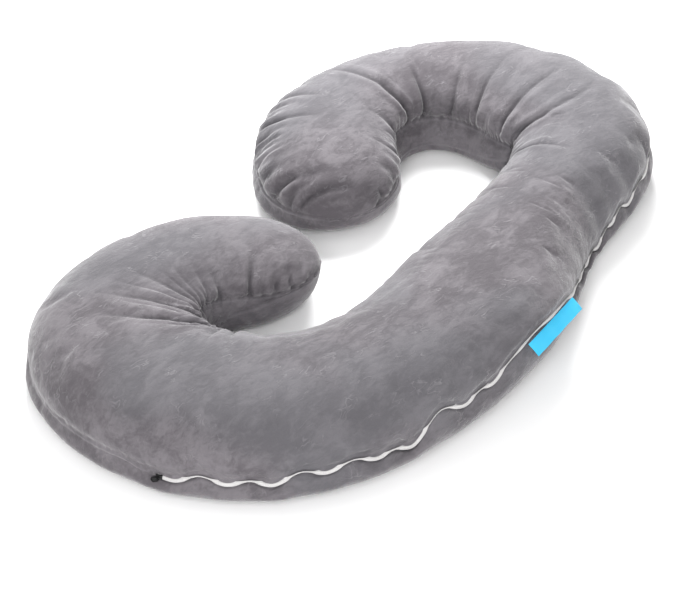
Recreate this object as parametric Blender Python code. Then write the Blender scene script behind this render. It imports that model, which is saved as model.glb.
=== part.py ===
"""C-shaped pregnancy pillow, in metres, +Z up: a filled cushion, the zip in its outer seam, a side label."""

import math
from collections import namedtuple

import bmesh
import bpy
import numpy as np
from mathutils import Matrix, Vector

# The tube's middle line, from the tip of the near hook to the tip of the far one. Half_width is measured
# across the tube, crown is the height of its top and seam that of its outer seam.
Place = namedtuple("Place", "x y half_width crown seam")
TUBE = (
    Place(-0.008, -0.115, 0.103, 0.118, 0.076),
    Place(-0.160, -0.264, 0.126, 0.142, 0.064),
    Place(-0.155, -0.484, 0.132, 0.146, 0.048),
    Place(0.014, -0.531, 0.154, 0.156, 0.066),
    Place(0.210, -0.421, 0.155, 0.162, 0.078),
    Place(0.276, -0.239, 0.141, 0.164, 0.090),
    Place(0.252, 0.020, 0.144, 0.160, 0.098),
    Place(0.170, 0.285, 0.116, 0.154, 0.054),
    Place(0.093, 0.491, 0.140, 0.158, 0.076),
    Place(-0.040, 0.533, 0.158, 0.160, 0.080),
    Place(-0.257, 0.415, 0.120, 0.154, 0.072),
    Place(-0.284, 0.229, 0.139, 0.148, 0.060),
    Place(-0.092, 0.043, 0.130, 0.136, 0.054),
)
END_LENGTH = 0.125  # the rounded part of each hook's end
END_STEPS = 8
END_FULLNESS = 0.75  # under 1 keeps the ends plump until close to their tips
STATION_STEP, ZIP_STEP = 0.0165, 0.0110

# The section. Angles run over a panel from the outer seam (0) to the inner one (180).
TOP_SQUARENESS, BASE_SQUARENESS = 2.2, 2.7  # 2 is an ellipse and more is squarer
TOP_ANGLES = (0, 6, 14, 25, 39, 55, 72, 90, 107, 123, 137, 149, 160, 169, 175, 180)
BASE_ANGLES = (180, 170, 155, 122, 58, 36, 20, 9, 0)
BASE_PRESS = 1.16  # without the floor the underside would hang this share of the seam's height below it
WAVE_SETTLING = 3  # the zip's waves die out down the bottom panel with this power of the way left
BASE_BELLY = 0.009  # the weight pushes the outer side out by this below its seam
SEAM_DRAW = 0.006  # the seams are drawn in by this
SEAM_REACH = 0.013

# The near hook bends more tightly than half its width. Its inner side takes a shorter way round there: a
# smooth curve from start to end, which leaves both with this share of the speed of the side itself.
Bridge = namedtuple("Bridge", "start end speed")
BRIDGE = Bridge(0.20, 0.66, 0.5)

# Each hook's inner bend has a gusset: a lens-shaped panel that tapers to a point at both ends. Its upper and
# lower seams are drawn in by these sizes on top of SEAM_DRAW, and the panels lean in towards them.
Gusset = namedtuple("Gusset", "start end height middle upper_draw lower_draw")
GUSSETS = (
    Gusset(0.05, 0.90, 0.056, 0.070, 0.010, 0.006),
    Gusset(1.70, 2.57, 0.043, 0.050, 0.026, 0.004),
)
GUSSET_SHARES = (1 / 3, 2 / 3)
GUSSET_TAPER = 0.8  # under 1 makes the lens fuller towards its points
GUSSET_BULGE = 0.006  # its middle stands out by this from a straight line between its seams
GUSSET_REACH = 0.042  # the panels beside a gusset lean in over this height
SEAM_GAP = 0.0024

# The zip lies in a flat bed in the outer seam and waves up and down along it.
Wave = namedtuple("Wave", "at rise")
ZIP_START, ZIP_END = 0.676, 2.050
WAVE_FADE = 0.035  # the waves die out over this length past both ends of the zip
ZIP_WAVES = (
    Wave(0.676, -0.012),
    Wave(0.690, -0.015),
    Wave(0.703, -0.017),
    Wave(0.729, 0.001),
    Wave(0.755, -0.013),
    Wave(0.780, -0.005),
    Wave(0.800, -0.016),
    Wave(0.828, 0.004),
    Wave(0.855, -0.008),
    Wave(0.885, 0.002),
    Wave(0.914, -0.014),
    Wave(0.939, -0.012),
    Wave(0.962, -0.024),
    Wave(0.997, 0.014),
    Wave(1.017, 0.012),
    Wave(1.051, -0.009),
    Wave(1.075, 0.000),
    Wave(1.100, -0.008),
    Wave(1.126, 0.006),
    Wave(1.160, 0.014),
    Wave(1.189, 0.020),
    Wave(1.246, 0.011),
    Wave(1.320, -0.002),
    Wave(1.360, -0.018),
    Wave(1.400, -0.017),
    Wave(1.440, -0.026),
    Wave(1.470, -0.020),
    Wave(1.500, -0.026),
    Wave(1.535, -0.014),
    Wave(1.570, -0.024),
    Wave(1.600, -0.003),
    Wave(1.622, -0.007),
    Wave(1.642, 0.010),
    Wave(1.672, -0.008),
    Wave(1.700, 0.008),
    Wave(1.735, -0.006),
    Wave(1.770, 0.008),
    Wave(1.810, -0.008),
    Wave(1.850, 0.008),
    Wave(1.890, -0.008),
    Wave(1.930, 0.008),
    Wave(1.970, -0.008),
    Wave(2.010, 0.006),
    Wave(2.050, 0.000),
)
BED_HALF = 0.0046
BED_TAPER = 0.02
PLAIN_SEAM_HALF = 0.0012
ZIP_HALF, ZIP_RIM, ZIP_CREST, ZIP_CREST_HALF = 0.0034, 0.0009, 0.0018, 0.0014
CLEAR = 0.0003

# The creases of the top panel: from (at, angle) to (to_at, to_angle), deepest near the start.
Crease = namedtuple("Crease", "at angle to_at to_angle depth width")
CREASES = (
    Crease(0.060, 176, 0.075, 118, 0.0035, 0.007),
    Crease(0.036, 174, 0.050, 112, 0.0030, 0.007),
    Crease(0.126, 174, 0.111, 100, 0.0035, 0.009),
    Crease(0.205, 172, 0.224, 116, 0.0035, 0.009),
    Crease(0.290, 170, 0.252, 112, 0.0035, 0.008),
    Crease(0.345, 166, 0.292, 104, 0.0040, 0.008),
    Crease(0.390, 164, 0.350, 94, 0.0055, 0.008),
    Crease(0.480, 160, 0.422, 88, 0.0070, 0.008),
    Crease(0.590, 152, 0.480, 86, 0.0085, 0.009),
    Crease(0.620, 144, 0.522, 94, 0.0050, 0.007),
    Crease(0.655, 150, 0.682, 98, 0.0045, 0.008),
    Crease(0.700, 156, 0.722, 103, 0.0045, 0.008),
    Crease(0.780, 170, 0.800, 118, 0.0030, 0.010),
    Crease(1.020, 172, 1.030, 122, 0.0030, 0.011),
    Crease(1.290, 172, 1.275, 118, 0.0030, 0.011),
    Crease(1.430, 172, 1.410, 112, 0.0035, 0.010),
    Crease(1.510, 172, 1.480, 110, 0.0035, 0.010),
    Crease(1.590, 172, 1.560, 112, 0.0035, 0.010),
    Crease(1.645, 166, 1.650, 86, 0.0065, 0.009),
    Crease(1.745, 170, 1.858, 62, 0.0060, 0.009),
    Crease(1.885, 172, 1.914, 66, 0.0065, 0.009),
    Crease(2.010, 150, 1.999, 78, 0.0035, 0.010),
    Crease(2.100, 170, 2.068, 86, 0.0045, 0.009),
    Crease(2.182, 176, 2.182, 96, 0.0080, 0.008),
    Crease(2.230, 176, 2.292, 58, 0.0075, 0.009),
    Crease(2.340, 172, 2.370, 110, 0.0035, 0.009),
    Crease(1.740, 8, 1.750, 46, 0.0030, 0.013),
    Crease(1.800, 8, 1.820, 52, 0.0030, 0.013),
    Crease(1.870, 8, 1.885, 52, 0.0030, 0.013),
    Crease(2.320, 8, 2.330, 60, 0.0030, 0.013),
    Crease(2.371, 12, 2.367, 80, 0.0045, 0.012),
    Crease(2.400, 10, 2.402, 52, 0.0040, 0.011),
    Crease(2.424, 10, 2.429, 84, 0.0045, 0.012),
    Crease(2.447, 10, 2.452, 48, 0.0040, 0.011),
    Crease(2.470, 10, 2.480, 60, 0.0035, 0.012),
    Crease(2.520, 10, 2.525, 50, 0.0035, 0.012),
    Crease(2.555, 8, 2.571, 82, 0.0050, 0.010),
    Crease(2.585, 10, 2.581, 66, 0.0045, 0.009),
    Crease(2.600, 20, 2.604, 110, 0.0045, 0.009),
    Crease(2.602, 172, 2.596, 140, 0.0035, 0.008),
    Crease(2.570, 174, 2.560, 130, 0.0035, 0.009),
)
CREASE_STEPS = 8
CREASE_SPREAD = 1.2  # a crease is this much wider again where it fades out
CREASE_FADE = 0.7  # under 1 keeps a crease deep until close to its far end
CREASE_ROOM = (0.003, 0.010)  # creases fade out where the sections are this close, in the tightest bends
CREASE_LIP = 0.35  # the cloth stands up beside a crease by this share of its depth
LIP_AWAY = 1.9  # and this many widths from its middle
LIP_START = (0.1, 0.4)  # shares of the crease over which the lips rise
CREASE_END_ANGLE = 175  # the rows from here on, by the inner seam, have no creases

# The slider, its pull and the label.
SLIDER_LENGTH, SLIDER_HALF, SLIDER_THICK, SLIDER_ROUND = 0.011, 0.0045, 0.0042, 0.001
PULL_LENGTH, PULL_HALF, PULL_THICK, PULL_ROUND = 0.0125, 0.0042, 0.0016, 0.0006
PULL_TURN = math.radians(35)  # it hangs down this much from the line of the zip
LABEL_START, LABEL_END, LABEL_STEPS = 1.166, 1.317, 11
LABEL_OUT, LABEL_DOWN, LABEL_THICK = 0.020, 0.017, 0.0012
LABEL_ROOT = 0.0056  # it is caught in the seam this much above the middle of the zip, which it covers
LABEL_LEAN = 0.0004  # its top face lies this much further out, as the label slopes down
LABEL_BOW = ((0, 0), (0.45, 0.5), (1, 1))  # shares of the way down and out, from its root to its hem

Finish = namedtuple("Finish", "color roughness metallic")
FINISHES = {
    "velvet_grey": Finish((0.235, 0.225, 0.235), 0.85, 0.0),
    "zip_white": Finish((0.72, 0.71, 0.70), 0.55, 0.0),
    "slider_black": Finish((0.02, 0.02, 0.022), 0.4, 0.6),
    "label_blue": Finish((0.04, 0.50, 0.78), 0.6, 0.0),
}

# The sizes of the tube at one place. Side and inner point out of its middle line, in plan.
Tube = namedtuple("Tube", "at x y side_x side_y inner_x inner_y half inner_half crown seam plump")


def natural_spline(knots, values, at):
    """The values at these places of the smooth curve through the knots."""
    gaps = np.diff(knots)
    slopes = np.diff(values) / gaps
    matrix = np.eye(len(knots))
    turn = np.zeros(len(knots))
    for i in range(1, len(knots) - 1):
        matrix[i, i - 1 : i + 2] = gaps[i - 1], 2 * (gaps[i - 1] + gaps[i]), gaps[i]
        turn[i] = 6 * (slopes[i] - slopes[i - 1])
    bend = np.linalg.solve(matrix, turn)
    i = np.clip(np.searchsorted(knots, at) - 1, 0, len(gaps) - 1)
    before, after = (knots[i + 1] - at) / gaps[i], (at - knots[i]) / gaps[i]
    sag = (before**3 - before) * bend[i] + (after**3 - after) * bend[i + 1]
    return before * values[i] + after * values[i + 1] + sag * gaps[i] ** 2 / 6


def tube_knots():
    """The distance along the middle line of each row of TUBE."""
    points = np.array([(place.x, place.y) for place in TUBE])
    return np.append(0, np.cumsum(np.linalg.norm(np.diff(points, axis=0), axis=1)))


def middle_line(at):
    """The tube's middle line in plan, and the unit directions across it, out of the C."""
    knots, step = tube_knots(), 0.004
    columns = Place(*np.array(TUBE).T)
    before, here, after = (
        np.stack([natural_spline(knots, columns.x, at + by), natural_spline(knots, columns.y, at + by)], -1)
        for by in (-step, 0, step)
    )
    ahead = (after - before) / np.linalg.norm(after - before, axis=-1, keepdims=True)
    return here, np.stack([ahead[..., 1], -ahead[..., 0]], -1)


def plain_inner_line(at):
    """The tube's inner side in plan, half its width from the middle line."""
    middle, across = middle_line(at)
    half = natural_spline(tube_knots(), np.array(TUBE)[:, 2], at)
    return middle - across * half[..., None]


def inner_line(at):
    """The tube's inner side in plan, with the bridge over the tight bend."""
    ends, step = np.array([BRIDGE.start, BRIDGE.end]), 0.002
    first, last = plain_inner_line(ends)
    speeds = (plain_inner_line(ends + step) - plain_inner_line(ends - step)) / (2 * step)
    leave, arrive = speeds * BRIDGE.speed * (BRIDGE.end - BRIDGE.start)
    t = np.clip((at - BRIDGE.start) / (BRIDGE.end - BRIDGE.start), 0, 1)[..., None]
    bridge = first + (last - first) * (3 - 2 * t) * t**2
    bridge = bridge + leave * t * (1 - t) ** 2 - arrive * (1 - t) * t**2
    return np.where((t > 0) & (t < 1), bridge, plain_inner_line(at))


def tube_at(at):
    """The tube at these distances along its middle line."""
    at = np.asarray(at, float)
    knots = tube_knots()
    half, crown, seam = (natural_spline(knots, column, at) for column in np.array(TUBE).T[2:])
    middle, across = middle_line(at)
    inward = inner_line(at) - middle
    inner_half = np.linalg.norm(inward, axis=-1)
    from_end = np.clip(np.minimum(at, knots[-1] - at) / END_LENGTH, 0, 1)
    plump = np.sqrt(1 - (1 - from_end) ** 2)
    directions = (*middle.T, *across.T, *(inward / inner_half[..., None]).T)
    return Tube(at, *directions, half * plump, inner_half * plump, crown, seam, plump)


def spaced(start, end, step):
    """Even places from start up to, but not at, end."""
    return np.linspace(start, end, round((end - start) / step), endpoint=False)


def stations():
    """The distances along the middle line that carry a section, closer together at the rounded ends."""
    total = tube_knots()[-1]
    end = END_LENGTH * (1 - np.cos(np.linspace(0, math.pi / 2, END_STEPS + 1)[1:-1]))
    near = spaced(END_LENGTH, ZIP_START, STATION_STEP)
    middle = spaced(ZIP_START, ZIP_END, ZIP_STEP)
    far = spaced(ZIP_END, total - END_LENGTH, STATION_STEP)
    last = [total - END_LENGTH]
    return np.concatenate([end, near, middle, far, last, (total - end)[::-1]])


def between(low, high, value):
    """0 up to low, 1 from high on, and a smooth step between them."""
    t = np.clip((value - low) / (high - low), 0, 1)
    return t * t * (3 - 2 * t)


def wave_rise(at):
    """How far the outer seam waves above its straight line."""
    knots, rises = np.array(ZIP_WAVES).T
    fade = between(ZIP_START - WAVE_FADE, ZIP_START, at) * (1 - between(ZIP_END, ZIP_END + WAVE_FADE, at))
    return natural_spline(knots, rises, np.clip(at, ZIP_START, ZIP_END)) * fade


def bed_half(at):
    """Half the height of the flat bed that the zip lies on. It narrows to a plain seam past its ends."""
    inside = between(ZIP_START - BED_TAPER, ZIP_START, at) * (1 - between(ZIP_END, ZIP_END + BED_TAPER, at))
    return PLAIN_SEAM_HALF + (BED_HALF - PLAIN_SEAM_HALF) * inside


def gusset_share(gusset, at):
    """0 at the gusset's points and 1 in its middle."""
    along = np.clip((at - gusset.start) / (gusset.end - gusset.start), 0, 1)
    return np.sin(math.pi * along) ** GUSSET_TAPER


def inner_seams(tube):
    """The heights of the upper and the lower inner seam, and how far a gusset draws each of them in."""
    middle, height = tube.seam, SEAM_GAP * tube.plump
    upper_draw = lower_draw = 0
    for gusset in GUSSETS:
        share = gusset_share(gusset, tube.at)
        middle = middle + (gusset.middle - middle) * share
        height = height + (gusset.height - SEAM_GAP) * share
        upper_draw = upper_draw + gusset.upper_draw * share
        lower_draw = lower_draw + gusset.lower_draw * share
    return middle + height / 2, middle - height / 2, upper_draw, lower_draw


def superellipse(angle, squareness):
    """The shares of the half width and of the height at an angle over a panel, in degrees."""
    turn = np.radians(angle)
    across, lift = np.cos(turn), np.clip(np.sin(turn), 0, 1)
    return np.sign(across) * np.abs(across) ** (2 / squareness), lift ** (2 / squareness)


def in_world(tube, out, height):
    """Points this far out of the middle line: above 0 to the outer side, under 0 to the inner one."""
    outer, inner = np.maximum(out, 0), np.maximum(-out, 0)
    x = tube.x + tube.side_x * outer + tube.inner_x * inner
    y = tube.y + tube.side_y * outer + tube.inner_y * inner
    return np.stack(np.broadcast_arrays(x, y, height), -1)


def side(tube, across, drawn):
    """The distance from the middle line, outwards, of a share of the half width less what is drawn in."""
    half = np.where(across > 0, tube.half, tube.inner_half)
    return half * across - np.sign(across) * drawn


def drawn_in(tube, gusset_draw, from_edge):
    """How far a panel is drawn in at this height above or below its edge."""
    by_seam = SEAM_DRAW * tube.plump * np.exp(-((from_edge / SEAM_REACH) ** 2))
    return by_seam + gusset_draw * np.exp(-((from_edge / GUSSET_REACH) ** 2))


def top_panel(tube, angle):
    """Points of the top panel, by their angle over it."""
    across, lift = superellipse(angle, TOP_SQUARENESS)
    inner_part = (1 - np.cos(np.radians(angle))) / 2
    upper, _, gusset_draw, _ = inner_seams(tube)
    outer = tube.seam + wave_rise(tube.at) + bed_half(tube.at) * tube.plump
    edge = outer + (upper - outer) * inner_part
    crown = tube.seam + (tube.crown - tube.seam) * tube.plump**END_FULLNESS
    rise = (crown - edge) * lift
    drawn = drawn_in(tube, gusset_draw * inner_part, rise)
    return in_world(tube, side(tube, across, drawn), edge + rise)


def base_panel(tube, angle):
    """Points of the bottom panel, which the floor presses flat."""
    across, lift = superellipse(angle, BASE_SQUARENESS)
    inner_part = (1 - np.cos(np.radians(angle))) / 2
    _, lower, _, gusset_draw = inner_seams(tube)
    outer = tube.seam - bed_half(tube.at) * tube.plump
    edge = outer + (lower - outer) * inner_part
    wave = wave_rise(tube.at) * (1 - inner_part) * (1 - lift) ** WAVE_SETTLING
    fall = edge * BASE_PRESS * tube.plump**END_FULLNESS * lift
    drawn = drawn_in(tube, gusset_draw * inner_part, fall)
    belly = BASE_BELLY * tube.plump * 4 * lift * (1 - lift) * (1 - inner_part)
    return in_world(tube, side(tube, across, drawn - belly), np.maximum(edge + wave - fall, 0))


def gusset_panel(tube, share):
    """Points of the inner gusset, by their share of the way down it."""
    upper, lower, upper_draw, lower_draw = inner_seams(tube)
    drawn = SEAM_DRAW * tube.plump + upper_draw + (lower_draw - upper_draw) * share
    bulge = GUSSET_BULGE * (upper - lower) / GUSSETS[0].height * np.sin(math.pi * share)
    return in_world(tube, drawn - bulge - tube.inner_half, upper + (lower - upper) * share)


def spread(tube):
    """The same tube with its arrays as columns, to be met with a row of angles."""
    return Tube(*(values[:, None] for values in tube))


def crease_path(crease):
    """Points along a crease, on the smooth top panel."""
    share = np.linspace(0, 1, CREASE_STEPS)
    at = crease.at + (crease.to_at - crease.at) * share
    angle = crease.angle + (crease.to_angle - crease.angle) * share
    return top_panel(tube_at(at), angle)


def distance_to_path(points, path):
    """The distance of each point from the path, and the share of the way along it of the nearest place."""
    starts, steps = path[:-1], np.diff(path, axis=0)
    offset = points[..., None, :] - starts
    part = np.clip((offset * steps).sum(-1) / (steps**2).sum(-1), 0, 1)
    distance = np.linalg.norm(offset - part[..., None] * steps, axis=-1)
    nearest = distance.argmin(-1)
    part = np.take_along_axis(part, nearest[..., None], -1)[..., 0]
    return distance.min(-1), (nearest + part) / len(steps)


def crease_depth(points):
    """How far each point sinks into the creases, less than nothing where cloth stands up beside one."""
    depth = np.zeros(points.shape[:-1])
    for crease in CREASES:
        distance, share = distance_to_path(points, crease_path(crease))
        width = crease.width * (1 + CREASE_SPREAD * share)
        fade = (1 - share) ** CREASE_FADE
        groove = np.exp(-((distance / width) ** 2))
        lip = CREASE_LIP * between(*LIP_START, share) * np.exp(-((distance / width - LIP_AWAY) ** 2))
        depth += crease.depth * fade * (groove - lip)
    return depth


def outward(grid):
    """Unit normals of a grid of stations by rows, whose rows close into a ring."""
    along = np.gradient(grid, axis=0)
    around = np.roll(grid, -1, axis=1) - np.roll(grid, 1, axis=1)
    normal = np.cross(along, around)
    return normal / np.linalg.norm(normal, axis=-1, keepdims=True)


def pillow_grid():
    """Points of the pillow's skin, stations by rows: over the top, down the gusset and back underneath."""
    tube = spread(tube_at(stations()))
    top = top_panel(tube, np.array(TOP_ANGLES))
    gusset = gusset_panel(tube, np.array(GUSSET_SHARES))
    base = base_panel(tube, np.array(BASE_ANGLES))
    grid = np.concatenate([top, gusset, base], axis=1)
    spacing = np.linalg.norm(np.gradient(grid, axis=0), axis=-1)
    depth = crease_depth(grid) * between(*CREASE_ROOM, spacing)
    depth[:, TOP_ANGLES.index(0)] = 0
    depth[:, TOP_ANGLES.index(CREASE_END_ANGLE) :] = 0
    return grid - outward(grid) * depth[..., None]


def ring_faces(stations_count, rows):
    """Faces between neighbouring rings of a grid whose points are numbered ring by ring."""
    return [
        (i * rows + j, i * rows + (j + 1) % rows, (i + 1) * rows + (j + 1) % rows, (i + 1) * rows + j)
        for i in range(stations_count - 1)
        for j in range(rows)
    ]


def link_object(name, mesh, finish):
    mesh.materials.append(bpy.data.materials[finish])
    thing = bpy.data.objects.new(name, mesh)
    bpy.context.scene.collection.objects.link(thing)
    return thing


def face_out(mesh):
    shape = bmesh.new()
    shape.from_mesh(mesh)
    bmesh.ops.recalc_face_normals(shape, faces=shape.faces)
    shape.to_mesh(mesh)
    shape.free()


def add_smooth(name, points, faces, finish):
    mesh = bpy.data.meshes.new(name)
    mesh.from_pydata([tuple(point) for point in points], [], faces)
    mesh.polygons.foreach_set("use_smooth", [True] * len(mesh.polygons))
    face_out(mesh)
    return link_object(name, mesh, finish)


def build_body():
    grid = pillow_grid()
    count, rows = grid.shape[:2]
    tips = tube_at([0.0, tube_knots()[-1]])
    poles = in_world(tips, np.zeros(2), tips.seam)
    points = np.concatenate([grid.reshape(-1, 3), poles])
    first, last = len(points) - 2, len(points) - 1
    faces = ring_faces(count, rows)
    faces += [(first, (j + 1) % rows, j) for j in range(rows)]
    base = (count - 1) * rows
    faces += [(last, base + j, base + (j + 1) % rows) for j in range(rows)]
    return add_smooth("pillow_body", points, faces, "velvet_grey")


def seam_frames(at):
    """For each place: the middle of the zip's bed, then the ways along, up and out of the seam."""
    tube = tube_at(at)
    middle = in_world(tube, tube.half - SEAM_DRAW * tube.plump, tube.seam + wave_rise(tube.at))
    up = np.zeros_like(middle)
    up[:, 2] = 1
    out = np.stack([tube.side_x, tube.side_y, np.zeros_like(tube.x)], -1)
    return middle, np.cross(up, out), up, out


def straightened(middle, out):
    """The frames along a straight line that touches the bulge of the seam from outside."""
    chord = np.linspace(middle[0], middle[-1], len(middle))
    square = out.mean(0) / np.linalg.norm(out.mean(0))
    bulge = ((middle - chord) @ square).max()
    return chord + square * bulge, np.tile(square, (len(middle), 1))


def strip(at, section, straight=False):
    """Rings of a strip along the seam. Section is a closed loop of (up, out) from the middle of the bed."""
    middle, _, up, out = seam_frames(at)
    if straight:
        middle, out = straightened(middle, out)
    section = np.array(section)
    return middle[:, None] + up[:, None] * section[:, :1] + out[:, None] * section[:, 1:]


def add_strip(name, rings, finish):
    count, rows = rings.shape[:2]
    faces = ring_faces(count, rows)
    faces += [tuple(range(rows))[::-1], tuple(range((count - 1) * rows, count * rows))]
    return add_smooth(name, rings.reshape(-1, 3), faces, finish)


def build_zip():
    at = stations()
    at = at[(at > ZIP_START) & (at < ZIP_END)]
    section = (
        (-ZIP_HALF, CLEAR),
        (-ZIP_HALF, CLEAR + ZIP_RIM),
        (-ZIP_CREST_HALF, CLEAR + ZIP_CREST),
        (ZIP_CREST_HALF, CLEAR + ZIP_CREST),
        (ZIP_HALF, CLEAR + ZIP_RIM),
        (ZIP_HALF, CLEAR),
    )
    return add_strip("zip_tape", strip(at, section), "zip_white")


def build_label():
    """A flat tab that stands out and down from the seam, over the zip."""
    at = np.linspace(LABEL_START, LABEL_END, LABEL_STEPS)
    away = 2 * CLEAR + ZIP_CREST
    under = [(LABEL_ROOT - LABEL_DOWN * down, away + LABEL_OUT * out) for down, out in LABEL_BOW]
    over = [(up + LABEL_THICK, out + LABEL_LEAN) for up, out in under]
    return add_strip("side_label", strip(at, over + under[::-1], straight=True), "label_blue")


def add_block(name, size, rounding, place, finish):
    """A block with rounded edges, turned and carried by the matrix."""
    shape = bmesh.new()
    bmesh.ops.create_cube(shape, size=1)
    bmesh.ops.scale(shape, vec=size, verts=shape.verts)
    bmesh.ops.bevel(shape, geom=shape.edges, offset=rounding, segments=2, affect="EDGES", profile=0.5)
    bmesh.ops.transform(shape, matrix=place, verts=shape.verts)
    mesh = bpy.data.meshes.new(name)
    shape.to_mesh(mesh)
    shape.free()
    return link_object(name, mesh, finish)


def seam_matrix(at, out_by):
    """A frame this far out of the seam: X along it, Y up it and Z out of it."""
    middle, along, up, out = (Vector(rows[0]) for rows in seam_frames(np.array([at])))
    return Matrix.Translation(middle + out * out_by) @ Matrix((along, up, out)).transposed().to_4x4()


def build_slider():
    lift = 2 * CLEAR + ZIP_CREST + SLIDER_THICK / 2
    place = seam_matrix(ZIP_START + SLIDER_LENGTH, lift)
    size = (SLIDER_LENGTH, 2 * SLIDER_HALF, SLIDER_THICK)
    return add_block("zip_slider", size, SLIDER_ROUND, place, "slider_black")


def build_pull():
    lift = 3 * CLEAR + ZIP_CREST + SLIDER_THICK + PULL_THICK / 2
    place = seam_matrix(ZIP_START + SLIDER_LENGTH, lift)
    place = place @ Matrix.Rotation(PULL_TURN, 4, "Z") @ Matrix.Translation((-PULL_LENGTH / 2, 0, 0))
    size = (PULL_LENGTH, 2 * PULL_HALF, PULL_THICK)
    return add_block("zip_pull", size, PULL_ROUND, place, "slider_black")


def centre_in_plan(things):
    """Moves all the points so that the origin is under the middle of the whole object."""
    corners = np.array([vertex.co for thing in things for vertex in thing.data.vertices])
    middle = (corners.min(axis=0) + corners.max(axis=0)) / 2
    for thing in things:
        thing.data.transform(Matrix.Translation((-middle[0], -middle[1], 0)))


def clear_scene():
    for thing in list(bpy.data.objects):
        bpy.data.objects.remove(thing)


def make_finishes():
    for name, finish in FINISHES.items():
        material = bpy.data.materials.new(name)
        material.use_nodes = True
        inputs = material.node_tree.nodes["Principled BSDF"].inputs
        inputs["Base Color"].default_value = (*finish.color, 1)
        inputs["Roughness"].default_value = finish.roughness
        inputs["Metallic"].default_value = finish.metallic


def main():
    clear_scene()
    make_finishes()
    centre_in_plan([build_body(), build_zip(), build_label(), build_slider(), build_pull()])


if __name__ == "__main__":
    main()
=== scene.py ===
# %% [markdown]
# This script dresses a C-shaped pregnancy pillow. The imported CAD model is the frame: it gives the place
# and the size of every piece, and nothing here moves it. On the real thing a long stuffed tube is covered
# in short velvet. Two flat panels make its top and its bottom, a lens-shaped gusset fills the inner bend
# of each hook, and a zip runs in the outer seam. Each of those gets its own step below.

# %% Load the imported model
import math
import random
from collections import namedtuple

import bpy
import numpy as np
from mathutils import Matrix, Vector
from mathutils.bvhtree import BVHTree
from mathutils.kdtree import KDTree


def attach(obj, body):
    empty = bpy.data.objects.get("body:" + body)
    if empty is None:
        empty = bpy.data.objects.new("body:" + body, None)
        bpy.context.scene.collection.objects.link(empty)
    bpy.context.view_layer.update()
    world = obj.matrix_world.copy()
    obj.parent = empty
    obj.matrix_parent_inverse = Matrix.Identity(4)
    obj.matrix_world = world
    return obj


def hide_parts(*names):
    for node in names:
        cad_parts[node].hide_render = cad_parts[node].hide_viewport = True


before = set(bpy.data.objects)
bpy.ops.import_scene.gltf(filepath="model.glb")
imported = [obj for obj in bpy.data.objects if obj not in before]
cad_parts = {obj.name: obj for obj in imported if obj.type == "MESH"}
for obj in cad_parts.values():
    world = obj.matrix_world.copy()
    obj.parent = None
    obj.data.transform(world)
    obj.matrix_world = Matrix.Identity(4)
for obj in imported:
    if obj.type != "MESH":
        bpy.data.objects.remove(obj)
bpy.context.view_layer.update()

# %% [markdown]
# The camera comes first, because everything is judged through it. It could be placed by eye, but the
# outline of the pillow in a photograph fixes it much better, so its angle and its lens were fitted to
# that outline.

# %% Camera
FRAME_WIDTH = 694
FOCAL_PIXELS = 1920
SENSOR_WIDTH = 36
CAMERA_AZIMUTH, CAMERA_ELEVATION, CAMERA_DISTANCE = 42.5, 38.5, 3.4
LOOK_AT = Vector((0.0173, -0.0845, 0.0))


def away_from(azimuth, elevation):
    """The unit direction from the object to a camera at this angle, in degrees."""
    a, e = math.radians(azimuth), math.radians(elevation)
    return Vector((math.sin(a) * math.cos(e), -math.cos(a) * math.cos(e), math.sin(e)))


bpy.ops.object.select_all(action="DESELECT")
back = away_from(CAMERA_AZIMUTH, CAMERA_ELEVATION)
turn = back.to_track_quat("Z", "Y").to_euler()
bpy.ops.object.camera_add(location=LOOK_AT + back * CAMERA_DISTANCE, rotation=turn)
camera = bpy.context.object
camera.data.sensor_width = SENSOR_WIDTH
camera.data.lens = FOCAL_PIXELS * SENSOR_WIDTH / FRAME_WIDTH
bpy.context.scene.camera = camera
print("camera lens", round(camera.data.lens, 1), "mm at", [round(c, 2) for c in camera.location])

# %% [markdown]
# A studio picture of bedding is lit by large soft sources, so that velvet shows its folds without hard
# shadows. Area lights could do this alone, and so could a bright world. Both are used: a white world
# fills the shadows, a lamp behind on the left draws the folds, and a larger one near the camera, with a
# faint one to its left, opens the sides that face the viewer.

# %% Lights
Light = namedtuple("Light", "name azimuth elevation distance size power")
LIGHTS = (
    Light("key", -132, 44, 2.0, 1.3, 100),
    Light("left", -30, 35, 3.8, 2.6, 12),
    Light("front", 38, 34, 3.4, 1.8, 92),
)
WORLD_WHITE, WORLD_STRENGTH = (1.0, 1.0, 1.0), 0.62

for light in LIGHTS:
    direction = away_from(light.azimuth, light.elevation)
    turn = direction.to_track_quat("Z", "Y").to_euler()
    bpy.ops.object.light_add(type="AREA", location=direction * light.distance, rotation=turn)
    lamp = bpy.context.object
    lamp.name = light.name
    lamp.data.size = light.size
    lamp.data.energy = light.power

world = bpy.data.worlds.new("studio")
bpy.context.scene.world = world
world.use_nodes = True
world.node_tree.nodes["Background"].inputs["Color"].default_value = (*WORLD_WHITE, 1)
world.node_tree.nodes["Background"].inputs["Strength"].default_value = WORLD_STRENGTH
bpy.context.scene.view_settings.view_transform = "Standard"
print(len(LIGHTS), "lights")

# %% [markdown]
# Materials are small node trees. Wiring them by hand takes many lines, so one class adds a node with its
# settings and inputs, and another wraps a socket so that sums can be written as sums.


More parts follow.
